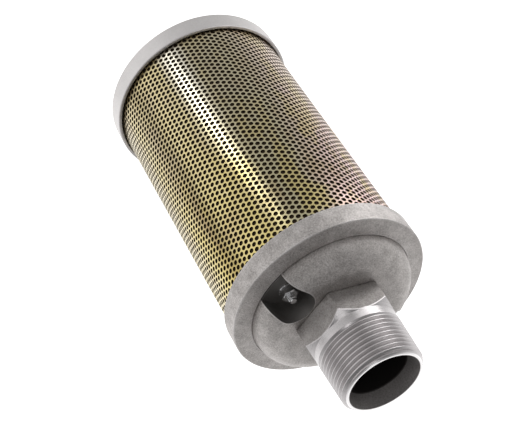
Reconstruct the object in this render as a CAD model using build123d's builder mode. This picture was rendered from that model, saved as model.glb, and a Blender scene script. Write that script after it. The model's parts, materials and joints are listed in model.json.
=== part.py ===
"""Heavy-duty pneumatic exhaust muffler with an R 1 1/4 male pipe thread.

Millimetres. Z is the muffler's axis. The origin is the centre of the flat face of the closed
end cap, which the muffler stands on, and the threaded inlet points up along +Z. The two tie
rods lie in the XZ plane, on +X (side a) and -X (side b).
"""

from build123d import *
import math
import os

# ---- Driving dimensions -------------------------------------------------------------------
OVERALL_LENGTH = 216.0
CAP_RADIUS = 49.5
RIM_HEIGHT = 11.0
RIM_WALL = 1.8
RIM_EDGE = 0.6
SCREEN_RADIUS = 47.0
SCREEN_EXPOSED = 141.2
SEAT_DEPTH = 6.0

# Inlet cap, above its rim
FACE_RISE = 1.1
GROOVE_RADIUS = 40.9
GROOVE_WIDTH = 0.4
GROOVE_DEPTH = 0.45
DOME_CORNER = 11.6
DOME_HEIGHT = 12.9
HEX_ACROSS_FLATS = 42.2
HEX_HEIGHT = 13.1
HEX_FACE_ANGLE = 45.0
NECK_RADIUS = 19.6
SHANK_RADIUS = 21.2
CAST_WALL = 3.6

# Inlet thread, R 1 1/4 (ISO 7-1)
THREAD_PITCH = 2.309
THREAD_DEPTH = 1.479
THREAD_MAJOR_AT_GAUGE = 41.910
GAUGE_LENGTH = 12.7
TAPER = 1.0 / 16.0
THREAD_LENGTH = 22.7
RUN_OUT = 1.9
THREAD_START_ANGLE = 17.0
RIDGE_LEAD = 0.23
MOUTH_CHAMFER = 1.5

# Inlet bore
BORE_RADIUS = 15.0
MOUTH_RADIUS = 17.75
MOUTH_CONE_DEPTH = 7.5
MOUTH_LAND_RADIUS = 18.6

# Tie rods, M4
ROD_CIRCLE = 29.6
ROD_RADIUS = 1.98
ROD_PITCH = 0.7
ROD_THREAD_DEPTH = 0.43
ROD_THREAD_LENGTH = 9.0
ROD_PROUD = 3.2
NUT_ACROSS_FLATS = 7.0
NUT_HEIGHT = 3.2
NUT_BEVEL = 0.45
NUT_TURN = 46.0
FLAT_WASHER_RADIUS = 4.0
FLAT_WASHER_THICKNESS = 0.5
LOCK_WASHER_RADIUS = 3.6
LOCK_WASHER_THICKNESS = 0.9
ROD_HOLE_RADIUS = 2.25

# Silencing elements
SCREEN_SHEET = 0.5
SHEET = 0.8
CORE_RADIUS = 40.0
CORE_HOLE_RADIUS = 4.0
CORE_COLUMNS = 18
CORE_ROWS = 9
FELT_GAP = 0.1
GASKET_THICKNESS = 1.0
REGISTER_HEIGHT = 3.0
REGISTER_WALL = 1.6

# ---- Levels along the axis ----------------------------------------------------------------
END_SEAT = RIM_HEIGHT - SEAT_DEPTH
INLET_RIM_BASE = RIM_HEIGHT + SCREEN_EXPOSED
INLET_RIM_TOP = INLET_RIM_BASE + RIM_HEIGHT
INLET_SEAT = INLET_RIM_BASE + SEAT_DEPTH
GROOVE_TOP = INLET_RIM_TOP + FACE_RISE
DOME_TOP = INLET_RIM_TOP + DOME_HEIGHT
HEX_BACK = DOME_TOP
HEX_FRONT = HEX_BACK + HEX_HEIGHT
THREAD_START = OVERALL_LENGTH - THREAD_LENGTH
MOUTH_CONE_END = OVERALL_LENGTH - MOUTH_CONE_DEPTH
ELEMENT_BASE = END_SEAT + GASKET_THICKNESS
ELEMENT_TOP = INLET_SEAT - GASKET_THICKNESS

# Nut pockets: floor height, and the stack of washers and nut that stands on it
POCKET_FLOOR = INLET_RIM_TOP + 0.2
POCKET_CIRCLE = 31.2
POCKET_RADIUS = 9.3
POCKET_MOUTH_HALF = 7.75
POCKET_LIP_RADIUS = 39.7
POCKET_WALL = 3.0
END_POCKET_RADIUS = 5.2
END_POCKET_FLOOR = 6.5
END_BOSS_RADIUS = 7.4
END_BOSS_TOP = 10.5
PANEL_RECESS = 1.2
STACK = FLAT_WASHER_THICKNESS + LOCK_WASHER_THICKNESS + NUT_HEIGHT
ROD_TOP = POCKET_FLOOR + STACK + ROD_PROUD
ROD_BOTTOM = 0.5

# ---- Radii --------------------------------------------------------------------------------
RIM_INNER = CAP_RADIUS - RIM_WALL
DOME_RADIUS = GROOVE_RADIUS - GROOVE_WIDTH
CAVITY_RADIUS = DOME_RADIUS - CAST_WALL
REGISTER_OUTER = CORE_RADIUS - SHEET - 0.4
REGISTER_INNER = REGISTER_OUTER - REGISTER_WALL
SCREEN_INNER = SCREEN_RADIUS - SCREEN_SHEET
FELT_INNER = CORE_RADIUS + FELT_GAP
FELT_OUTER = SCREEN_INNER - 3 * FELT_GAP
FELT_SPLIT = (FELT_INNER + FELT_OUTER) / 2

SIDES = {"a": 0.0, "b": 180.0}


def thread_crest(z):
    """Radius of the inlet thread's crests at height z, on the 1:16 taper."""
    from_end = OVERALL_LENGTH - z
    return (THREAD_MAJOR_AT_GAUGE + (from_end - GAUGE_LENGTH) * TAPER) / 2


def thread_ridge(pitch, depth, root_radius, start, height, x=0.0, cone_angle=0.0):
    """A right-hand helical ridge with 55 degree flanks, which is joined to a smooth core."""
    sunk = 0.2 * depth
    base_half = 0.46 * pitch
    crest_half = 0.07 * pitch
    with BuildPart() as ridge:
        with BuildLine() as path:
            Helix(
                pitch=pitch,
                height=height,
                radius=root_radius,
                center=(x, 0, start),
                cone_angle=cone_angle,
            )
        section_plane = Plane(origin=path.line @ 0, x_dir=(1, 0, 0), z_dir=path.line % 0)
        with BuildSketch(section_plane):
            with BuildLine():
                Polyline(
                    (-sunk, -base_half),
                    (-sunk, base_half),
                    (depth, crest_half),
                    (depth, -crest_half),
                    close=True,
                )
            make_face()
        sweep(is_frenet=True)
    return ridge.part


def ring(inner_radius, outer_radius, bottom, top):
    """A plain sleeve or flat ring round the axis."""
    with BuildPart() as sleeve:
        with BuildSketch(Plane.XY.offset(bottom)):
            Circle(outer_radius)
            Circle(inner_radius, mode=Mode.SUBTRACT)
        extrude(amount=top - bottom)
    return sleeve.part


parts = {}


def finish(name, solid):
    """Label a finished piece and keep it for export."""
    solid.label = name
    parts[name] = solid


# ---- Hexagon collar of the inlet cap: the wrench flats --------------------------------------
hex_corner = HEX_ACROSS_FLATS / math.sqrt(3)
hex_face_drop = (hex_corner + 1 - SHANK_RADIUS) * math.tan(math.radians(HEX_FACE_ANGLE))
with BuildPart() as hex_collar:
    with BuildSketch(Plane.XY.offset(HEX_BACK)):
        RegularPolygon(HEX_ACROSS_FLATS / 2, 6, major_radius=False, rotation=30)
    extrude(amount=HEX_HEIGHT)
    fillet(hex_collar.edges().filter_by(Axis.Z), radius=0.7)
    chamfer(hex_collar.faces().sort_by(Axis.Z)[0].edges(), length=0.4)
    # The front face is turned to a cone down to the corners.
    with BuildSketch(Plane.XZ):
        with BuildLine():
            Polyline(
                (SHANK_RADIUS, HEX_FRONT),
                (hex_corner + 1, HEX_FRONT),
                (hex_corner + 1, HEX_FRONT - hex_face_drop),
                close=True,
            )
        make_face()
    revolve(axis=Axis.Z, mode=Mode.SUBTRACT)
    with BuildSketch(Plane.XY.offset(HEX_BACK)):
        Circle(BORE_RADIUS)
    extrude(amount=HEX_HEIGHT, mode=Mode.SUBTRACT)

# ---- Male pipe thread with its shank and bore ------------------------------------------------
ridge_start = THREAD_START - RIDGE_LEAD
root_at_start = thread_crest(THREAD_START) - THREAD_DEPTH
root_at_mouth = thread_crest(OVERALL_LENGTH) - THREAD_DEPTH
taper_angle = math.degrees(math.atan(TAPER / 2))
beyond = 2 * THREAD_PITCH

with BuildPart() as pipe_thread:
    with BuildSketch(Plane.XZ):
        with BuildLine():
            Polyline(
                (BORE_RADIUS, HEX_FRONT - 1),
                (SHANK_RADIUS, HEX_FRONT - 1),
                (SHANK_RADIUS, THREAD_START),
                (root_at_start - RUN_OUT * TAPER / 2, THREAD_START + RUN_OUT),
                (root_at_mouth - beyond * TAPER / 2, OVERALL_LENGTH + beyond),
                (BORE_RADIUS, OVERALL_LENGTH + beyond),
                close=True,
            )
        make_face()
    revolve(axis=Axis.Z)
    add(
        thread_ridge(
            THREAD_PITCH,
            THREAD_DEPTH,
            thread_crest(ridge_start) - THREAD_DEPTH,
            ridge_start,
            THREAD_LENGTH + THREAD_PITCH - 1,
            cone_angle=-taper_angle,
        ).rotate(Axis.Z, THREAD_START_ANGLE)
    )
    # The mouth is faced off, chamfered through the first threads and bored out to a cone.
    with BuildSketch(Plane.XZ):
        with BuildLine():
            Polyline(
                (BORE_RADIUS, MOUTH_CONE_END),
                (MOUTH_RADIUS, OVERALL_LENGTH),
                (MOUTH_LAND_RADIUS, OVERALL_LENGTH),
                (MOUTH_LAND_RADIUS + 2 * MOUTH_CHAMFER, OVERALL_LENGTH - 2 * MOUTH_CHAMFER),
                (CAP_RADIUS, OVERALL_LENGTH - 2 * MOUTH_CHAMFER),
                (CAP_RADIUS, OVERALL_LENGTH + 2 * beyond),
                (0, OVERALL_LENGTH + 2 * beyond),
                (0, MOUTH_CONE_END),
                close=True,
            )
        make_face()
    revolve(axis=Axis.Z, mode=Mode.SUBTRACT)

# ---- Inlet cap: cast rim and dome, wrench flats, and the thread -------------------------------
# The bosses that carry the nut pockets stay inside the dome's skin.
dome_mid_corner = DOME_CORNER - CAST_WALL / 2
with BuildPart() as pocket_bosses:
    with BuildSketch(Plane.XY.offset(POCKET_FLOOR - POCKET_WALL)):
        with PolarLocations(POCKET_CIRCLE, len(SIDES)):
            Circle(POCKET_RADIUS + POCKET_WALL)
    extrude(amount=DOME_HEIGHT)
    with BuildSketch(Plane.XZ):
        with BuildLine():
            flat = Polyline(
                (0, INLET_SEAT),
                (0, DOME_TOP - CAST_WALL / 2),
                (DOME_RADIUS - DOME_CORNER, DOME_TOP - CAST_WALL / 2),
            )
            corner = RadiusArc(
                flat @ 1, (DOME_RADIUS - CAST_WALL / 2, DOME_TOP - DOME_CORNER), dome_mid_corner
            )
            Polyline(corner @ 1, (DOME_RADIUS - CAST_WALL / 2, INLET_SEAT), flat @ 0)
        make_face()
    revolve(axis=Axis.Z, mode=Mode.INTERSECT)

# The pockets' sides run from the mouth's corners to where they touch the circle.
mouth_x = GROOVE_RADIUS - POCKET_CIRCLE
mouth_angle = math.atan2(POCKET_MOUTH_HALF, mouth_x)
tangent_angle = mouth_angle + math.acos(POCKET_RADIUS / math.hypot(mouth_x, POCKET_MOUTH_HALF))
pocket_tangent_x = POCKET_RADIUS * math.cos(tangent_angle)
pocket_tangent_y = POCKET_RADIUS * math.sin(tangent_angle)

with BuildPart() as inlet_cap:
    with BuildSketch(Plane.XZ) as inlet_profile:
        with BuildLine():
            rim = Polyline(
                (REGISTER_INNER, INLET_SEAT - REGISTER_HEIGHT),
                (REGISTER_OUTER, INLET_SEAT - REGISTER_HEIGHT),
                (REGISTER_OUTER, INLET_SEAT),
                (RIM_INNER, INLET_SEAT),
                (RIM_INNER, INLET_RIM_BASE + 0.3),
                (RIM_INNER + 0.3, INLET_RIM_BASE),
                (CAP_RADIUS, INLET_RIM_BASE),
                (CAP_RADIUS, INLET_RIM_TOP),
                (GROOVE_RADIUS + 0.2, GROOVE_TOP),
                (GROOVE_RADIUS, GROOVE_TOP - 0.2),
                (GROOVE_RADIUS, GROOVE_TOP - GROOVE_DEPTH),
                (DOME_RADIUS, GROOVE_TOP - GROOVE_DEPTH),
                (DOME_RADIUS, DOME_TOP - DOME_CORNER),
            )
            shoulder = RadiusArc(rim @ 1, (DOME_RADIUS - DOME_CORNER, DOME_TOP), -DOME_CORNER)
            neck = Polyline(
                shoulder @ 1,
                (NECK_RADIUS, DOME_TOP),
                (NECK_RADIUS, HEX_FRONT - 1),
                (BORE_RADIUS, HEX_FRONT - 1),
                (BORE_RADIUS, DOME_TOP - CAST_WALL),
                (DOME_RADIUS - DOME_CORNER, DOME_TOP - CAST_WALL),
            )
            inner_corner = RadiusArc(
                neck @ 1, (CAVITY_RADIUS, DOME_TOP - DOME_CORNER), DOME_CORNER - CAST_WALL
            )
            Polyline(inner_corner @ 1, (CAVITY_RADIUS, INLET_SEAT), (REGISTER_INNER, INLET_SEAT), rim @ 0)
        make_face()
        fillet(inlet_profile.vertices().group_by(Axis.X)[-1], radius=RIM_EDGE)
    revolve(axis=Axis.Z)

    add(pocket_bosses.part)
    # Each pocket opens outward over a low lip, all but level with the rim.
    for level, reach in ((POCKET_FLOOR, POCKET_LIP_RADIUS), (GROOVE_TOP, GROOVE_RADIUS)):
        with BuildSketch(Plane.XY.offset(level)):
            with PolarLocations(POCKET_CIRCLE, len(SIDES)):
                Circle(POCKET_RADIUS)
                Polygon(
                    (pocket_tangent_x, -pocket_tangent_y),
                    (GROOVE_RADIUS - POCKET_CIRCLE, -POCKET_MOUTH_HALF),
                    (GROOVE_RADIUS - POCKET_CIRCLE, POCKET_MOUTH_HALF),
                    (pocket_tangent_x, pocket_tangent_y),
                    align=None,
                )
            Circle(reach, mode=Mode.INTERSECT)
        extrude(amount=DOME_HEIGHT + 1, mode=Mode.SUBTRACT)

    with BuildSketch(Plane.XY.offset(INLET_SEAT)):
        with PolarLocations(ROD_CIRCLE, len(SIDES)):
            Circle(ROD_HOLE_RADIUS)
    extrude(amount=DOME_HEIGHT, mode=Mode.SUBTRACT)

    add(hex_collar.part)
    add(pipe_thread.part)
finish("inlet_cap", inlet_cap.part)

# ---- End cap: closed, with recessed nuts so that it stands flat -----------------------------
with BuildPart() as end_cap:
    with BuildSketch(Plane.XZ) as end_profile:
        with BuildLine():
            Polyline(
                (0, END_SEAT),
                (0, PANEL_RECESS),
                (DOME_RADIUS - PANEL_RECESS, PANEL_RECESS),
                (DOME_RADIUS, 0),
                (CAP_RADIUS, 0),
                (CAP_RADIUS, RIM_HEIGHT),
                (RIM_INNER + 0.3, RIM_HEIGHT),
                (RIM_INNER, RIM_HEIGHT - 0.3),
                (RIM_INNER, END_SEAT),
                (REGISTER_OUTER, END_SEAT),
                (REGISTER_OUTER, END_SEAT + REGISTER_HEIGHT),
                (REGISTER_INNER, END_SEAT + REGISTER_HEIGHT),
                (REGISTER_INNER, END_SEAT),
                close=True,
            )
        make_face()
        fillet(end_profile.vertices().group_by(Axis.X)[-1], radius=RIM_EDGE)
    revolve(axis=Axis.Z)
    with BuildSketch(Plane.XY.offset(END_SEAT)):
        with PolarLocations(ROD_CIRCLE, len(SIDES)):
            Circle(END_BOSS_RADIUS)
    extrude(amount=END_BOSS_TOP - END_SEAT)
    with BuildSketch(Plane.XY):
        with PolarLocations(ROD_CIRCLE, len(SIDES)):
            Circle(END_POCKET_RADIUS)
    extrude(amount=END_POCKET_FLOOR, mode=Mode.SUBTRACT)
    with BuildSketch(Plane.XY):
        with PolarLocations(ROD_CIRCLE, len(SIDES)):
            Circle(ROD_HOLE_RADIUS)
    extrude(amount=END_BOSS_TOP, mode=Mode.SUBTRACT)
finish("end_cap", end_cap.part)

# ---- Silencing elements ---------------------------------------------------------------------
finish("outer_screen", ring(SCREEN_INNER, SCREEN_RADIUS, ELEMENT_BASE, ELEMENT_TOP))
finish("felt_outer_layer", ring(FELT_SPLIT + FELT_GAP / 2, FELT_OUTER, ELEMENT_BASE, ELEMENT_TOP))
finish("felt_inner_layer", ring(FELT_INNER, FELT_SPLIT - FELT_GAP / 2, ELEMENT_BASE, ELEMENT_TOP))
finish("end_gasket", ring(REGISTER_OUTER + 0.1, SCREEN_RADIUS + 0.3, END_SEAT, ELEMENT_BASE))
finish("inlet_gasket", ring(REGISTER_OUTER + 0.1, SCREEN_RADIUS + 0.3, ELEMENT_TOP, INLET_SEAT))

# Core tube: perforated with staggered rows of round holes.
core_row_pitch = (ELEMENT_TOP - ELEMENT_BASE) / (CORE_ROWS + 1)
column_angle = 360 / CORE_COLUMNS
with BuildPart() as core_tube:
    with BuildSketch(Plane.XY.offset(ELEMENT_BASE)):
        Circle(CORE_RADIUS)
        Circle(CORE_RADIUS - SHEET, mode=Mode.SUBTRACT)
    extrude(amount=ELEMENT_TOP - ELEMENT_BASE)
    hole_planes = []
    for row in range(CORE_ROWS):
        for column in range(CORE_COLUMNS):
            angle = math.radians((column + 0.5 * (row % 2) + 0.25) * column_angle)
            outward = Vector(math.cos(angle), math.sin(angle), 0)
            height = Vector(0, 0, ELEMENT_BASE + (row + 1) * core_row_pitch)
            hole_planes.append(Plane(origin=outward * CORE_RADIUS + height, z_dir=outward))
    with Locations(*hole_planes):
        Cylinder(radius=CORE_HOLE_RADIUS, height=6 * SHEET, mode=Mode.SUBTRACT)
finish("core_tube", core_tube.part)


# ---- Tie rods and their nuts and washers ----------------------------------------------------
def tie_rod(angle):
    """A plain rod with a rolled M4 thread at each end and chamfered tips."""
    root = ROD_RADIUS - ROD_THREAD_DEPTH
    pitch_radius = ROD_RADIUS - ROD_THREAD_DEPTH / 2
    with BuildPart() as rod:
        with BuildSketch(Plane.XZ):
            with BuildLine():
                Polyline(
                    (ROD_CIRCLE, ROD_BOTTOM),
                    (ROD_CIRCLE + root - 0.1, ROD_BOTTOM),
                    (ROD_CIRCLE + root, ROD_BOTTOM + 0.3),
                    (ROD_CIRCLE + root, ROD_BOTTOM + ROD_THREAD_LENGTH),
                    (ROD_CIRCLE + pitch_radius, ROD_BOTTOM + ROD_THREAD_LENGTH + 1),
                    (ROD_CIRCLE + pitch_radius, ROD_TOP - ROD_THREAD_LENGTH - 1),
                    (ROD_CIRCLE + root, ROD_TOP - ROD_THREAD_LENGTH),
                    (ROD_CIRCLE + root, ROD_TOP - 0.3),
                    (ROD_CIRCLE + root - 0.1, ROD_TOP),
                    (ROD_CIRCLE, ROD_TOP),
                    close=True,
                )
            make_face()
        revolve(axis=Axis((ROD_CIRCLE, 0, 0), (0, 0, 1)))
        for start in (ROD_BOTTOM + 0.5, ROD_TOP - ROD_THREAD_LENGTH + 0.2):
            add(
                thread_ridge(
                    ROD_PITCH, ROD_THREAD_DEPTH, root, start, ROD_THREAD_LENGTH - 0.9, x=ROD_CIRCLE
                )
            )
    return rod.part.rotate(Axis.Z, angle)


def nut(angle, bottom):
    """An M4 hexagon nut, chamfered on both faces."""
    corner = NUT_ACROSS_FLATS / math.sqrt(3)
    with BuildPart() as hexagon:
        with BuildSketch(Plane.XY.offset(bottom)):
            with Locations((ROD_CIRCLE, 0)):
                RegularPolygon(corner, 6, rotation=NUT_TURN)
                Circle(ROD_RADIUS + 0.02, mode=Mode.SUBTRACT)
        extrude(amount=NUT_HEIGHT)
        with BuildSketch(Plane.XZ):
            with BuildLine():
                Polyline(
                    (ROD_CIRCLE, bottom),
                    (ROD_CIRCLE + corner - 2 * NUT_BEVEL, bottom),
                    (ROD_CIRCLE + corner, bottom + NUT_BEVEL),
                    (ROD_CIRCLE + corner, bottom + NUT_HEIGHT - NUT_BEVEL),
                    (ROD_CIRCLE + corner - 2 * NUT_BEVEL, bottom + NUT_HEIGHT),
                    (ROD_CIRCLE, bottom + NUT_HEIGHT),
                    close=True,
                )
            make_face()
        revolve(axis=Axis((ROD_CIRCLE, 0, 0), (0, 0, 1)), mode=Mode.INTERSECT)
    return hexagon.part.rotate(Axis.Z, angle)


def flat_washer(angle, bottom):
    """A plain M4 washer of the small series."""
    with BuildPart() as washer:
        with BuildSketch(Plane.XY.offset(bottom)):
            with Locations((ROD_CIRCLE, 0)):
                Circle(FLAT_WASHER_RADIUS)
                Circle(ROD_RADIUS + 0.17, mode=Mode.SUBTRACT)
        extrude(amount=FLAT_WASHER_THICKNESS)
    return washer.part.rotate(Axis.Z, angle)


def lock_washer(angle, bottom):
    """A split spring washer, drawn flat as it is when tightened."""
    with BuildPart() as washer:
        with BuildSketch(Plane.XY.offset(bottom)):
            with Locations((ROD_CIRCLE, 0)):
                Circle(LOCK_WASHER_RADIUS)
                Circle(ROD_RADIUS + 0.1, mode=Mode.SUBTRACT)
            with Locations((ROD_CIRCLE - LOCK_WASHER_RADIUS, 0)):
                Rectangle(2 * LOCK_WASHER_RADIUS, 0.5, mode=Mode.SUBTRACT)
        extrude(amount=LOCK_WASHER_THICKNESS)
    return washer.part.rotate(Axis.Z, angle)


for side_name, side_angle in SIDES.items():
    finish(f"tie_rod_{side_name}", tie_rod(side_angle))
    # On the inlet cap the stack stands on the pocket floor; on the end cap it hangs below it.
    level = POCKET_FLOOR
    finish(f"inlet_flat_washer_{side_name}", flat_washer(side_angle, level))
    level += FLAT_WASHER_THICKNESS
    finish(f"inlet_lock_washer_{side_name}", lock_washer(side_angle, level))
    level += LOCK_WASHER_THICKNESS
    finish(f"inlet_nut_{side_name}", nut(side_angle, level))
    level = END_POCKET_FLOOR - FLAT_WASHER_THICKNESS
    finish(f"end_flat_washer_{side_name}", flat_washer(side_angle, level))
    level -= LOCK_WASHER_THICKNESS
    finish(f"end_lock_washer_{side_name}", lock_washer(side_angle, level))
    level -= NUT_HEIGHT
    finish(f"end_nut_{side_name}", nut(side_angle, level))

# ---- Write every piece ----------------------------------------------------------------------
os.makedirs("parts", exist_ok=True)
for node_name, piece in parts.items():
    export_step(piece, f"parts/{node_name}.step")
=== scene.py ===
"""Looks of the pneumatic muffler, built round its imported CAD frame. Metres, +Z towards the inlet."""

import json
import math

import bpy
from mathutils import Matrix, Vector


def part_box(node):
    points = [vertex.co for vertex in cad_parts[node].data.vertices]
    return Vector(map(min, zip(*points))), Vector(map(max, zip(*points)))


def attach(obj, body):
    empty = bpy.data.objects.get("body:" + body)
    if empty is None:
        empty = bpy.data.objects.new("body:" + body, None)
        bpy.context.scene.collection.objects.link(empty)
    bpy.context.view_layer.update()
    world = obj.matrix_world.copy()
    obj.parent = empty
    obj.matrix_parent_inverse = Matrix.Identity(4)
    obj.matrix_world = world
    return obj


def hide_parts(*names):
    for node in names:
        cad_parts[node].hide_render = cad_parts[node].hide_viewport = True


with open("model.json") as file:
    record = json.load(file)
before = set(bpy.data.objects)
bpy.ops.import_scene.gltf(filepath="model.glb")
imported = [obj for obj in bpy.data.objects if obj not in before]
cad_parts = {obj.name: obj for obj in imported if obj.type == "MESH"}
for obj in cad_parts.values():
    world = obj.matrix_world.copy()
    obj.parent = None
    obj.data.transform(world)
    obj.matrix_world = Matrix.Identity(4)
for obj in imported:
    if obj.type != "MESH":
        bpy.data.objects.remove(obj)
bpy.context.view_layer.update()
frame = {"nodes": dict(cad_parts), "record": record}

MM = 0.001
nodes = frame["nodes"]
scene = bpy.context.scene
scene.view_settings.view_transform = "Standard"

# ---- Camera -------------------------------------------------------------------------------
CAMERA_AT = Vector((396.36, -225.95, 463.19)) * MM
FORWARD = Vector((-0.676057, 0.397209, -0.620622)).normalized()
UP = Vector((0.182331, -0.725892, -0.663202)).normalized()
camera_data = bpy.data.cameras.new("camera")
camera_data.sensor_width = 36.0
camera_data.lens = 79.13
camera_data.clip_start = 0.02
camera_data.clip_end = 20.0
camera = bpy.data.objects.new("camera", camera_data)
scene.collection.objects.link(camera)
right = FORWARD.cross(UP).normalized()
up = right.cross(FORWARD)
camera.matrix_world = Matrix.Translation(CAMERA_AT) @ Matrix((right, up, -FORWARD)).transposed().to_4x4()
scene.camera = camera


# ---- Node helpers ---------------------------------------------------------------------------
MIX_A, MIX_B, MIX_RESULT = 6, 7, 2  # a colour mix node's own sockets


def set_stops(elements, stops):
    """Gives a colour ramp these stops, (position, colour), the first at 0 and the last at 1."""
    elements[0].color = (*stops[0][1], 1.0)
    elements[-1].color = (*stops[-1][1], 1.0)
    for position, colour in stops[1:-1]:
        elements.new(position).color = (*colour, 1.0)


def opaque(colour):
    """The colour with full alpha, if it is plain red, green and blue. A socket stays as it is."""
    return (*colour, 1.0) if isinstance(colour, tuple) else colour


class Graph:
    """A material's node tree, with short calls for the nodes that the finishes share."""

    def __init__(self, name):
        self.material = bpy.data.materials.new(name)
        self.material.use_nodes = True
        self.tree = self.material.node_tree
        self.shader = self.tree.nodes["Principled BSDF"]
        coords = self.tree.nodes.new("ShaderNodeTexCoord")
        self.place = coords.outputs["Object"]
        split = self.tree.nodes.new("ShaderNodeSeparateXYZ")
        self.link(self.place, split.inputs[0])
        self.x, self.y, self.z = split.outputs
        self.radius = self.length(self.x, self.y)
        self.angle = self.math("ARCTAN2", self.y, self.x)

    def link(self, source, target):
        self.tree.links.new(source, target)

    def feed(self, value, socket):
        if isinstance(value, bpy.types.NodeSocket):
            self.link(value, socket)
        else:
            socket.default_value = value

    def math(self, operation, a, b=None, c=None, clamp=False):
        node = self.tree.nodes.new("ShaderNodeMath")
        node.operation = operation
        node.use_clamp = clamp
        for value, socket in zip((a, b, c), node.inputs):
            if value is not None:
                self.feed(value, socket)
        return node.outputs[0]

    def length(self, a, b):
        """The length of the vector (a, b)."""
        return self.math("SQRT", self.math("ADD", self.math("MULTIPLY", a, a), self.math("MULTIPLY", b, b)))

    def ramp(self, value, low, high, out_low=0.0, out_high=1.0, smooth=False):
        node = self.tree.nodes.new("ShaderNodeMapRange")
        node.interpolation_type = "SMOOTHSTEP" if smooth else "LINEAR"
        self.feed(value, node.inputs["Value"])
        node.inputs["From Min"].default_value = low
        node.inputs["From Max"].default_value = high
        node.inputs["To Min"].default_value = out_low
        node.inputs["To Max"].default_value = out_high
        return node.outputs["Result"]

    def noise(self, scale, detail=4.0, rough=0.55, place=None, distortion=0.0):
        node = self.tree.nodes.new("ShaderNodeTexNoise")
        self.link(place or self.place, node.inputs["Vector"])
        node.inputs["Scale"].default_value = scale
        node.inputs["Detail"].default_value = detail
        node.inputs["Roughness"].default_value = rough
        node.inputs["Distortion"].default_value = distortion
        return node.outputs["Fac"]

    def stretch(self, sx, sy, sz):
        node = self.tree.nodes.new("ShaderNodeMapping")
        self.link(self.place, node.inputs["Vector"])
        node.inputs["Scale"].default_value = (sx, sy, sz)
        return node.outputs[0]

    def combine(self, x, y, z):
        node = self.tree.nodes.new("ShaderNodeCombineXYZ")
        for value, socket in zip((x, y, z), node.inputs):
            self.feed(value, socket)
        return node.outputs[0]

    def mix(self, factor, a, b):
        node = self.tree.nodes.new("ShaderNodeMix")
        node.data_type = "RGBA"
        self.feed(factor, node.inputs["Factor"])
        self.feed(opaque(a), node.inputs[MIX_A])
        self.feed(opaque(b), node.inputs[MIX_B])
        return node.outputs[MIX_RESULT]

    def bands(self, factor, stops):
        node = self.tree.nodes.new("ShaderNodeValToRGB")
        self.feed(factor, node.inputs[0])
        set_stops(node.color_ramp.elements, stops)
        return node.outputs["Color"]

    def bump(self, height, strength, distance):
        node = self.tree.nodes.new("ShaderNodeBump")
        node.inputs["Strength"].default_value = strength
        node.inputs["Distance"].default_value = distance
        self.link(height, node.inputs["Height"])
        return node.outputs[0]

    def finish(self, colour, rough, metallic, normal=None):
        """Connects the finish's values to the shader and returns the material."""
        self.feed(opaque(colour), self.shader.inputs["Base Color"])
        self.feed(rough, self.shader.inputs["Roughness"])
        self.feed(metallic, self.shader.inputs["Metallic"])
        if normal is not None:
            self.link(normal, self.shader.inputs["Normal"])
        return self.material


# ---- Perforated screen ----------------------------------------------------------------------
SCREEN_RADIUS = 47.0
SHEET = 0.5
HOLE_RADIUS = 1.20
COLUMNS = 112
ROW_PITCH = 3.0231
FIRST_COLUMN_DEG = 5.652
FIRST_ROW = 2.593
TWIST_DEG_PER_MM = 0.00648
TWIST_FROM = 82.5
SCREEN_LOW, SCREEN_HIGH = (v.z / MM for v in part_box("outer_screen"))
EDGE_MARGIN = 0.9


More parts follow.
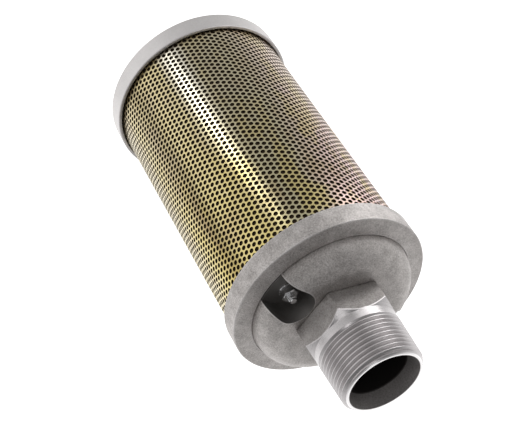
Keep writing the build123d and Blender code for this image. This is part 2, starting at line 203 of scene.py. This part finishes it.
def perforated_sleeve(name):
    """The rolled sheet with every hole cut through: two skins, hole walls and end rims, in one closed mesh.

    The sheet is laid out in the plane as columns of holes at one pitch, every second column half a
    pitch higher. It is rolled a little askew, so a row climbs down by one pitch in each turn.
    """
    column_deg = 360.0 / COLUMNS
    corner_dirs = [(math.cos(math.radians(45 * i)), math.sin(math.radians(45 * i))) for i in range(8)]
    deg_per_mm = math.degrees(1.0 / SCREEN_RADIUS)

    def height(u, climb):
        return FIRST_ROW + climb - ROW_PITCH * u / 360.0

    spans = []
    for column in range(COLUMNS + 1):
        u = column * column_deg
        half = 0.5 * (column % 2)
        low = math.ceil((SCREEN_LOW + EDGE_MARGIN + HOLE_RADIUS - height(u, 0)) / ROW_PITCH - half)
        high = math.floor((SCREEN_HIGH - EDGE_MARGIN - HOLE_RADIUS - height(u, 0)) / ROW_PITCH - half)
        spans.append((low + half, high + half))

    points = []
    flat = []

    def vertex(u, z):
        """Adds the outer and the inner point at this place of the flat sheet; returns the outer's index."""
        angle = math.radians(FIRST_COLUMN_DEG + u + TWIST_DEG_PER_MM * (z - TWIST_FROM))
        for radius in (SCREEN_RADIUS, SCREEN_RADIUS - SHEET):
            points.append((radius * math.cos(angle) * MM, radius * math.sin(angle) * MM, z * MM))
            flat.append((u, z))
        return len(points) - 2

    rings = {}
    for column in range(COLUMNS):
        u = column * column_deg
        low, high = spans[column]
        for step in range(int(high - low) + 1):
            w = low + step
            z = height(u, w * ROW_PITCH)
            rings[column, w] = [
                vertex(u + HOLE_RADIUS * dx * deg_per_mm, z + HOLE_RADIUS * dz) for dx, dz in corner_dirs
            ]

    def ring(column, w):
        """The hole's corners. Past the last column the sheet closes on its first one, a pitch lower."""
        if column >= COLUMNS:
            return rings.get((column - COLUMNS, w - 1.0))
        return rings.get((column, w))

    outer = []
    walls = []
    for (column, w), a in rings.items():
        above = ring(column, w + 1.0)
        right_up = ring(column + 1, w + 0.5)
        right_down = ring(column + 1, w - 0.5)
        if above:
            outer.append((a[1], above[7], above[6], a[2]))
            outer.append((a[2], above[6], above[5], a[3]))
        if right_up:
            outer.append((a[0], right_up[5], right_up[4], a[1]))
        if right_down:
            outer.append((a[7], right_down[4], right_down[3], a[0]))
        if above and right_up:
            outer.append((a[1], right_up[4], above[7]))
        if right_up and right_down:
            outer.append((a[0], right_down[3], right_up[5]))
        for i in range(8):
            j = (i + 1) % 8
            walls.append((a[i], a[j], a[j] + 1, a[i] + 1))

    rims = []
    for end, level in ((0, SCREEN_LOW), (1, SCREEN_HIGH)):
        chain = []
        for column in range(COLUMNS):
            here = spans[column][end]
            before = spans[column - 1][end] if column else spans[COLUMNS - 1][end] - 1.0
            after = spans[column + 1][end] if column + 1 < COLUMNS else spans[0][end] + 1.0
            a = rings[column, here]
            if end == 0:
                first = 5 if before < here else 4
                last = 8 if after > here else 7
                corners = range(first, last + 1)
            else:
                first = 4 if before < here else 3
                last = 0 if after < here else 1
                corners = range(first, last - 1, -1)
            chain += [a[i % 8] for i in corners]
        edge = [vertex(flat[i][0], level) for i in chain]
        count = len(chain)
        for i in range(count):
            j = (i + 1) % count
            if end == 0:
                outer.append((edge[i], edge[j], chain[j], chain[i]))
                rims.append((edge[j], edge[i], edge[i] + 1, edge[j] + 1))
            else:
                outer.append((chain[i], chain[j], edge[j], edge[i]))
                rims.append((edge[i], edge[j], edge[j] + 1, edge[i] + 1))

    inner = [tuple(i + 1 for i in reversed(face)) for face in outer]
    faces = outer + inner + walls + rims
    mesh = bpy.data.meshes.new(name)
    mesh.from_pydata(points, [], faces)
    mesh.update()

    # Flat layout for textures: outer skin with the hole walls folded into its holes, inner skin below.
    layer = mesh.uv_layers.new(name="OFBake")
    span = SCREEN_HIGH - SCREEN_LOW
    width = 360.0 + 3 * column_deg
    kinds = ["outer"] * len(outer) + ["inner"] * len(inner) + ["wall"] * len(walls) + ["rim"] * len(rims)
    for polygon, kind in zip(mesh.polygons, kinds):
        corners = list(polygon.vertices)
        us = [flat[i][0] for i in corners]
        if max(us) - min(us) > 180.0:
            us = [u + 360.0 if u < 180.0 else u for u in us]
        zs = [flat[i][1] for i in corners]
        for loop, i, u, z in zip(polygon.loop_indices, corners, us, zs):
            v = (z - SCREEN_LOW) / span
            across = (u + column_deg) / width
            if kind == "inner":
                place = (across, 0.01 + 0.47 * v)
            elif kind == "rim":
                place = (across, (0.485 if z < TWIST_FROM else 0.495) + (0.003 if i % 2 else 0.0))
            else:
                place = (across, 0.51 + 0.48 * v)
            layer.data[loop].uv = place
    sleeve = bpy.data.objects.new(name, mesh)
    scene.collection.objects.link(sleeve)
    return sleeve


screen = perforated_sleeve("perforated_screen")
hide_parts("outer_screen")
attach(screen, "root")


# ---- Materials ------------------------------------------------------------------------------
METAL = 1.0
NO_METAL = 0.0
CAP_RADIUS = 0.0495
END_CAP_TOP = 0.0110
INLET_CAP_FOOT = 0.1522
INLET_CAP_TOP = 0.1632
GROOVE_RADIUS = 0.0409
GROOVE_TOP = 0.1643
DOME_TOP = 0.1761
HEX_FRONT = 0.1892
HEX_FACE_SLOPE = 1.0
HEX_CORNER = 0.0245
SHANK_RADIUS = 0.0212
MOUTH_LAND = 0.2156
MOUTH_RADIUS = 0.01775
BORE_RADIUS = 0.0150
BORE_FOOT = 0.1725
STREAK_HIGHLIGHT_DEG = -27.0
POCKET_CIRCLE = 0.0312
POCKET_RADIUS = 0.0093
POCKET_SIDE_DEG = 80.1


def outside_pocket(g):
    """Distance out from the nearest nut pocket's wall: round at its back, straight towards its mouth."""
    along = g.math("SUBTRACT", g.math("ABSOLUTE", g.x), POCKET_CIRCLE)
    aside = g.math("ABSOLUTE", g.y)
    from_back = g.length(along, aside)
    side = math.radians(POCKET_SIDE_DEG)
    across_side = g.math("MULTIPLY", aside, math.sin(side))
    from_side = g.math("MULTIPLY_ADD", along, math.cos(side), across_side)
    straight = g.math("GREATER_THAN", along, POCKET_RADIUS * math.cos(side))
    reach = g.math("MULTIPLY_ADD", straight, g.math("SUBTRACT", from_side, from_back), from_back)
    return g.math("SUBTRACT", reach, POCKET_RADIUS)


def cast_aluminium():
    """Fine-grained casting. Its thread, shank, hexagon's front face and mouth are turned bright."""
    g = Graph("cast_aluminium")
    grain = g.noise(1500.0, 5.0, 0.75)
    speckle = g.noise(3200.0, 3.0, 0.6)
    blotch = g.noise(48.0, 5.0, 0.62)
    cloud = g.noise(170.0, 4.0, 0.6)
    skin = g.mix(g.ramp(blotch, 0.32, 0.68), (0.43, 0.404, 0.389), (0.57, 0.537, 0.52))
    skin = g.mix(g.ramp(cloud, 0.5, 0.66, 0.0, 0.5), skin, (0.67, 0.637, 0.62))
    skin = g.mix(g.ramp(cloud, 0.5, 0.36, 0.0, 0.4), skin, (0.33, 0.308, 0.295))
    skin = g.mix(g.ramp(grain, 0.5, 0.66, 0.0, 0.7), skin, (0.74, 0.72, 0.71))
    skin = g.mix(g.ramp(grain, 0.5, 0.34, 0.0, 0.7), skin, (0.21, 0.198, 0.19))
    # Painted shade: the hexagon's wrench faces are painted darker than the dome.
    above_dome = g.ramp(g.z, DOME_TOP - 0.0001, DOME_TOP + 0.0003)
    shaded_flats = g.math("MULTIPLY", above_dome, g.ramp(g.radius, SHANK_RADIUS - 0.0004, SHANK_RADIUS - 0.0001))
    skin = g.mix(g.math("MULTIPLY", shaded_flats, 0.35), skin, (0.20, 0.187, 0.18))
    # Painted light: the closed end's cap is painted paler, for the stronger light near the floor.
    skin = g.mix(g.ramp(g.z, END_CAP_TOP + 0.001, END_CAP_TOP - 0.001, 0.0, 0.75), skin, (0.84, 0.82, 0.815))

    # Edges are lightened: both rims' outer corners are rubbed bright, and the outer lip of the groove
    # carries a painted highlight.
    rims = (0.0002, END_CAP_TOP - 0.0002, INLET_CAP_FOOT + 0.0002, INLET_CAP_TOP - 0.0002)
    lips = [(CAP_RADIUS - 0.0001, level, 0.0004) for level in rims]
    # The groove's outer lip gets a painted highlight.
    lips.append((GROOVE_RADIUS + 0.0002, GROOVE_TOP - 0.0001, 0.00025))
    for lip_radius, level, reach in lips:
        aside = g.math("SUBTRACT", g.radius, lip_radius)
        above = g.math("SUBTRACT", g.z, level)
        wear_and_highlight = g.ramp(g.length(aside, above), reach, 2.0 * reach, 0.4, 0.0, smooth=True)
        wear_and_highlight = g.math("MULTIPLY", wear_and_highlight, g.ramp(blotch, 0.30, 0.55))
        skin = g.mix(wear_and_highlight, skin, (0.74, 0.72, 0.715))

    # Painted shade: the nut pockets' walls are painted near black for the shade inside them. A painted
    # highlight runs along their upper edges.
    beyond = outside_pocket(g)
    above_rim = g.ramp(g.z, INLET_CAP_TOP - 0.0001, INLET_CAP_TOP + 0.0001)
    dome = g.math("MULTIPLY", above_rim, g.ramp(g.radius, GROOVE_RADIUS, GROOVE_RADIUS - 0.0001))
    dome = g.math("MULTIPLY", dome, g.ramp(g.z, DOME_TOP, DOME_TOP + 0.0002, 1.0, 0.0))
    edge = g.math("MULTIPLY", g.ramp(beyond, 0.00035, 0.0007, 0.6, 0.0), dome)
    skin = g.mix(edge, skin, (0.72, 0.70, 0.69))
    walls = g.math("MULTIPLY", g.ramp(beyond, 0.00005, 0.00012, 0.8, 0.0), dome)
    skin = g.mix(walls, skin, (0.13, 0.122, 0.115))

    # Turned surfaces, from the cone on the hexagon's front to the mouth.
    cone = g.math("MULTIPLY", g.math("SUBTRACT", g.radius, SHANK_RADIUS), HEX_FACE_SLOPE)
    past = g.math("SUBTRACT", g.math("ADD", g.z, cone), HEX_FRONT)
    ragged = g.math("MULTIPLY_ADD", g.noise(260.0, 3.0), 0.0008, -0.0004)
    turned = g.ramp(g.math("ADD", past, ragged), -0.0007, -0.0003, smooth=True)
    turned = g.math("MULTIPLY", turned, g.ramp(g.radius, HEX_CORNER + 0.0025, HEX_CORNER + 0.0030, 1.0, 0.0))
    fine_z = g.math("MULTIPLY", g.z, 5200.0)
    fine_r = g.math("MULTIPLY", g.radius, 5200.0)
    rings = g.noise(1.0, 2.0, 0.6, g.combine(fine_z, fine_r, 0.0))
    bright = g.mix(g.ramp(rings, 0.3, 0.7), (0.46, 0.44, 0.442), (0.63, 0.608, 0.61))
    bright = g.mix(g.ramp(grain, 0.5, 0.36, 0.0, 0.3), bright, (0.30, 0.285, 0.285))
    bright = g.mix(g.ramp(g.z, MOUTH_LAND - 0.00015, MOUTH_LAND + 0.00015), bright, (0.90, 0.88, 0.88))
    # Inside the mouth the metal is painted darker, a painted shade for the recess.
    inside = g.ramp(g.radius, MOUTH_RADIUS + 0.00007, MOUTH_RADIUS - 0.00007)
    shaded_mouth_wall = g.mix(g.ramp(grain, 0.35, 0.65), (0.19, 0.178, 0.174), (0.30, 0.283, 0.278))
    bright = g.mix(inside, bright, shaded_mouth_wall)
    # Painted shade: deep in the bore the metal is painted near black.
    wall = g.ramp(g.radius, BORE_RADIUS + 0.0002, BORE_RADIUS + 0.0001)
    in_bore = g.math("MULTIPLY", wall, g.ramp(g.z, BORE_FOOT - 0.0005, BORE_FOOT + 0.0005))
    painted_bore_shade = (0.085, 0.078, 0.075)
    skin = g.mix(in_bore, skin, painted_bore_shade)
    bright = g.mix(in_bore, bright, painted_bore_shade)

    colour = g.mix(turned, skin, bright)
    cast_rough = g.ramp(grain, 0.3, 0.7, 0.50, 0.64)
    turned_rough = g.math("MULTIPLY_ADD", inside, 0.2, g.ramp(rings, 0.3, 0.7, 0.26, 0.38))
    rough = g.math("MULTIPLY_ADD", turned, g.math("SUBTRACT", turned_rough, cast_rough), cast_rough)
    cast_height = g.math("MULTIPLY_ADD", speckle, 0.4, grain)
    turned_height = g.math("MULTIPLY_ADD", rings, 0.25, g.math("MULTIPLY", grain, 0.25))
    height = g.math("MULTIPLY_ADD", turned, g.math("SUBTRACT", turned_height, cast_height), cast_height)
    return g.finish(colour, rough, METAL, g.bump(height, 0.35, 0.00025))


def chromated_steel():
    """Yellow chromate: its film shifts between yellow, olive, brown and a pink bloom round the sleeve."""
    g = Graph("chromated_steel")
    drift = g.math("MULTIPLY_ADD", g.noise(16.0, 3.0, 0.5, g.stretch(1.0, 1.0, 0.35)), 1.1, -0.55)
    turn = g.math("MULTIPLY_ADD", g.math("ADD", g.angle, drift), 1.0 / math.tau, 0.5, clamp=True)
    yellow = (0.71, 0.615, 0.385)
    pink = (0.72, 0.535, 0.50)
    brown = (0.58, 0.455, 0.235)
    olive = (0.575, 0.53, 0.345)
    gold = (0.70, 0.585, 0.25)
    umber = (0.44, 0.32, 0.15)
    film = g.bands(
        turn,
        [
            (0.0, yellow),
            (0.10, olive),
            (0.19, pink),
            (0.30, pink),
            (0.355, olive),
            (0.40, olive),
            (0.45, gold),
            (0.495, gold),
            (0.52, umber),
            (0.545, gold),
            (0.58, yellow),
            (0.68, yellow),
            (0.77, pink),
            (0.88, brown),
            (1.0, yellow),
        ],
    )
    stain = g.noise(190.0, 5.0, 0.65)
    film = g.mix(g.ramp(stain, 0.52, 0.7, 0.0, 0.45), film, (0.50, 0.40, 0.22))
    film = g.mix(g.ramp(stain, 0.46, 0.3, 0.0, 0.5), film, (0.74, 0.66, 0.46))
    # Pools of deeper yellow and brown where the bath drained.
    pool = g.noise(70.0, 4.0, 0.6, g.stretch(1.0, 1.0, 0.5))
    film = g.mix(g.ramp(pool, 0.50, 0.62, 0.0, 0.6), film, (0.70, 0.565, 0.20))
    film = g.mix(g.ramp(pool, 0.46, 0.34, 0.0, 0.6), film, (0.52, 0.40, 0.22))
    # Towards the closed end the film is painted paler, painted light for the brighter light there, and along
    # the streak's bearing there it is painted near white, a painted highlight.
    film = g.mix(g.ramp(g.z, 0.13, 0.05, 0.0, 0.45), film, (0.67, 0.59, 0.44))
    streak_highlight = g.math("ABSOLUTE", g.math("SUBTRACT", g.angle, math.radians(STREAK_HIGHLIGHT_DEG)))
    streak_highlight = g.math("MULTIPLY", g.ramp(streak_highlight, 0.20, 0.08), g.ramp(g.z, 0.11, 0.03, 0.0, 0.75))
    film = g.mix(streak_highlight, film, (0.84, 0.81, 0.72))
    # The walls of the holes and the inner skin are painted dark brown, a painted shade for the dim inside of
    # the holes.
    skin = SCREEN_RADIUS * MM
    film = g.mix(g.ramp(g.radius, skin - 0.00004, skin - 0.00012), film, (0.13, 0.075, 0.010))
    rough = g.ramp(g.noise(600.0, 4.0, 0.6), 0.3, 0.7, 0.20, 0.34)
    # The rolled sheet is faintly faceted along its length.
    dents = g.noise(85.0, 2.0, 0.4, g.stretch(1.0, 1.0, 0.15))
    return g.finish(film, rough, METAL, g.bump(dents, 0.16, 0.0010))


def zinc_steel():
    """Bright zinc with a faint grain."""
    g = Graph("zinc_steel")
    grain = g.noise(1800.0, 3.0)
    cloud = g.noise(300.0, 3.0)
    colour = g.mix(g.ramp(cloud, 0.3, 0.7), (0.80, 0.80, 0.81), (0.95, 0.95, 0.96))
    rough = g.ramp(grain, 0.3, 0.7, 0.12, 0.26)
    return g.finish(colour, rough, METAL, g.bump(grain, 0.1, 0.0001))


def galvanised_steel():
    """Plain zinc coat with dull spangle."""
    g = Graph("galvanised_steel")
    spangle = g.noise(220.0, 2.0, 0.4)
    grain = g.noise(1500.0, 3.0)
    colour = g.mix(g.ramp(spangle, 0.35, 0.65), (0.42, 0.43, 0.44), (0.60, 0.61, 0.62))
    rough = g.ramp(spangle, 0.3, 0.7, 0.34, 0.52)
    return g.finish(colour, rough, METAL, g.bump(grain, 0.15, 0.0001))


def felt():
    """Dark brown fibre, matted."""
    g = Graph("felt")
    fibre = g.noise(1200.0, 5.0, 0.7, distortion=0.6)
    colour = g.mix(g.ramp(fibre, 0.3, 0.7), (0.015, 0.007, 0.001), (0.040, 0.021, 0.004))
    rough = g.ramp(fibre, 0.3, 0.7, 0.88, 1.0)
    return g.finish(colour, rough, NO_METAL, g.bump(fibre, 0.6, 0.0005))


def gasket_rubber():
    """Black rubber with a fine grain."""
    g = Graph("gasket_rubber")
    grain = g.noise(1500.0, 4.0)
    colour = g.mix(g.ramp(grain, 0.3, 0.7), (0.012, 0.012, 0.012), (0.035, 0.035, 0.035))
    rough = g.ramp(grain, 0.3, 0.7, 0.7, 0.85)
    return g.finish(colour, rough, NO_METAL, g.bump(grain, 0.3, 0.0002))


finishes = {
    "cast_aluminium": cast_aluminium(),
    "chromated_steel": chromated_steel(),
    "zinc_steel": zinc_steel(),
    "galvanised_steel": galvanised_steel(),
    "felt": felt(),
    "gasket": gasket_rubber(),
}
slots = {row["node"]: row["material_slot"] for row in frame["record"]["subparts"]}
for name, node in nodes.items():
    node.data.materials.clear()
    node.data.materials.append(finishes[slots[name]])
screen.data.materials.append(finishes["chromated_steel"])

# ---- Floor ----------------------------------------------------------------------------------
# A lit white table. Gloss looks through it, at the studio all round.
floor_mesh = bpy.data.meshes.new("floor")
floor_mesh.from_pydata([(-6, -6, 0), (6, -6, 0), (6, 6, 0), (-6, 6, 0)], [], [(0, 1, 2, 3)])
floor = bpy.data.objects.new("floor", floor_mesh)
scene.collection.objects.link(floor)
floor.location.z = -0.0002
floor.visible_glossy = False
g = Graph("floor")
g.shader.inputs["Emission Color"].default_value = (1.0, 1.0, 1.0, 1.0)
g.shader.inputs["Emission Strength"].default_value = 1.0
floor_mesh.materials.append(g.finish((0.8, 0.8, 0.8), 0.9, NO_METAL))

# ---- Studio ---------------------------------------------------------------------------------
# White all round and below, in tall soft panels; dim overhead. Bearings are degrees from +X.
LOW_PANELS = [
    (-180, 1.40),
    (-160, 1.35),
    (-145, 1.00),
    (-125, 0.70),
    (-105, 0.60),
    (-62, 0.52),
    (-48, 0.56),
    (-30, 0.78),
    (-12, 0.90),
    (10, 1.02),
    (27, 1.18),
    (36, 1.05),
    (46, 0.55),
    (56, 1.00),
    (80, 1.40),
    (120, 1.45),
    (180, 1.40),
]
HIGH_PANELS = [
    (-180, 1.25),
    (-110, 0.60),
    (-60, 0.22),
    (-30, 0.16),
    (0, 0.20),
    (50, 0.50),
    (120, 1.15),
    (180, 1.25),
]
OVERHEAD = 0.24
world = bpy.data.worlds.new("studio")
world.use_nodes = True
tree = world.node_tree
coords = tree.nodes.new("ShaderNodeTexCoord")
split = tree.nodes.new("ShaderNodeSeparateXYZ")
tree.links.new(coords.outputs["Generated"], split.inputs[0])
bearing = tree.nodes.new("ShaderNodeMath")
bearing.operation = "ARCTAN2"
tree.links.new(split.outputs["Y"], bearing.inputs[0])
tree.links.new(split.outputs["X"], bearing.inputs[1])
turn = tree.nodes.new("ShaderNodeMath")
turn.operation = "MULTIPLY_ADD"
turn.inputs[1].default_value = 1.0 / math.tau
turn.inputs[2].default_value = 0.5
tree.links.new(bearing.outputs[0], turn.inputs[0])


def panels(stops):
    ramp = tree.nodes.new("ShaderNodeValToRGB")
    ramp.color_ramp.interpolation = "EASE"
    greys = [(degrees / 360.0 + 0.5, (level, level, level)) for degrees, level in stops]
    set_stops(ramp.color_ramp.elements, greys)
    tree.links.new(turn.outputs[0], ramp.inputs[0])
    return ramp.outputs["Color"]


rise = tree.nodes.new("ShaderNodeMapRange")
rise.interpolation_type = "SMOOTHSTEP"
rise.inputs["From Min"].default_value = -0.15
rise.inputs["From Max"].default_value = 0.35
tree.links.new(split.outputs["Z"], rise.inputs["Value"])
sky = tree.nodes.new("ShaderNodeMix")
sky.data_type = "RGBA"
tree.links.new(rise.outputs["Result"], sky.inputs["Factor"])
tree.links.new(panels(LOW_PANELS), sky.inputs[MIX_A])
tree.links.new(panels(HIGH_PANELS), sky.inputs[MIX_B])
crown = tree.nodes.new("ShaderNodeMapRange")
crown.interpolation_type = "SMOOTHSTEP"
crown.inputs["From Min"].default_value = 0.50
crown.inputs["From Max"].default_value = 0.86
tree.links.new(split.outputs["Z"], crown.inputs["Value"])
dimmed = tree.nodes.new("ShaderNodeMix")
dimmed.data_type = "RGBA"
dimmed.inputs[MIX_B].default_value = (OVERHEAD, OVERHEAD, OVERHEAD, 1.0)
tree.links.new(crown.outputs["Result"], dimmed.inputs["Factor"])
tree.links.new(sky.outputs[MIX_RESULT], dimmed.inputs[MIX_A])
background = tree.nodes["Background"]
tree.links.new(dimmed.outputs[MIX_RESULT], background.inputs["Color"])
background.inputs["Strength"].default_value = 1.0
scene.world = world


def soft_box(name, middle, along, aim, size, brightness):
    """A rectangular lamp of even brightness. Its long side runs along the given direction."""
    lamp = bpy.data.lights.new(name, "AREA")
    lamp.shape = "RECTANGLE"
    lamp.size, lamp.size_y = size
    lamp.energy = brightness * math.pi * size[0] * size[1]
    box = bpy.data.objects.new(name, lamp)
    scene.collection.objects.link(box)
    back = (Vector(middle) - Vector(aim)).normalized()
    side = Vector(along).cross(back).normalized()
    turned = Matrix((side, back.cross(side), back)).transposed().to_4x4()
    box.matrix_world = Matrix.Translation(middle) @ turned
    box.visible_camera = False


def round_axis(distance, degrees, height):
    """A point at this distance from the muffler's axis, this bearing and this height."""
    angle = math.radians(degrees)
    return Vector((distance * math.cos(angle), distance * math.sin(angle), height))


# A tall strip below draws the long streak on the sleeve. Two cards light the thread from beside it, and
# a small box above the camera lights the hexagon's front and the nuts.
strip_foot = round_axis(0.30, -19.0, -0.205)
strip_head = round_axis(0.30, -33.0, -0.065)
strip_half = (strip_head - strip_foot) / 2
for name, middle, width, brightness in (
    ("strip_low", strip_foot + strip_half / 2, 0.060, 5.5),
    ("strip_high", strip_head - strip_half / 2, 0.040, 3.6),
):
    soft_box(name, middle, strip_half, (0, 0, 0.08), (width, strip_half.length), brightness)
soft_box("top", Vector((0.40, -0.23, 0.72)), (0.87, 0.50, 0), (0, 0, 0.18), (0.24, 0.16), 3.0)
soft_box("card", round_axis(0.18, -104.0, 0.085), (0, 0, 1), (0, 0, 0.085), (0.10, 0.07), 3.2)
soft_box("fill", round_axis(0.18, -74.0, 0.092), (0, 0, 1), (0, 0, 0.092), (0.09, 0.055), 1.5)
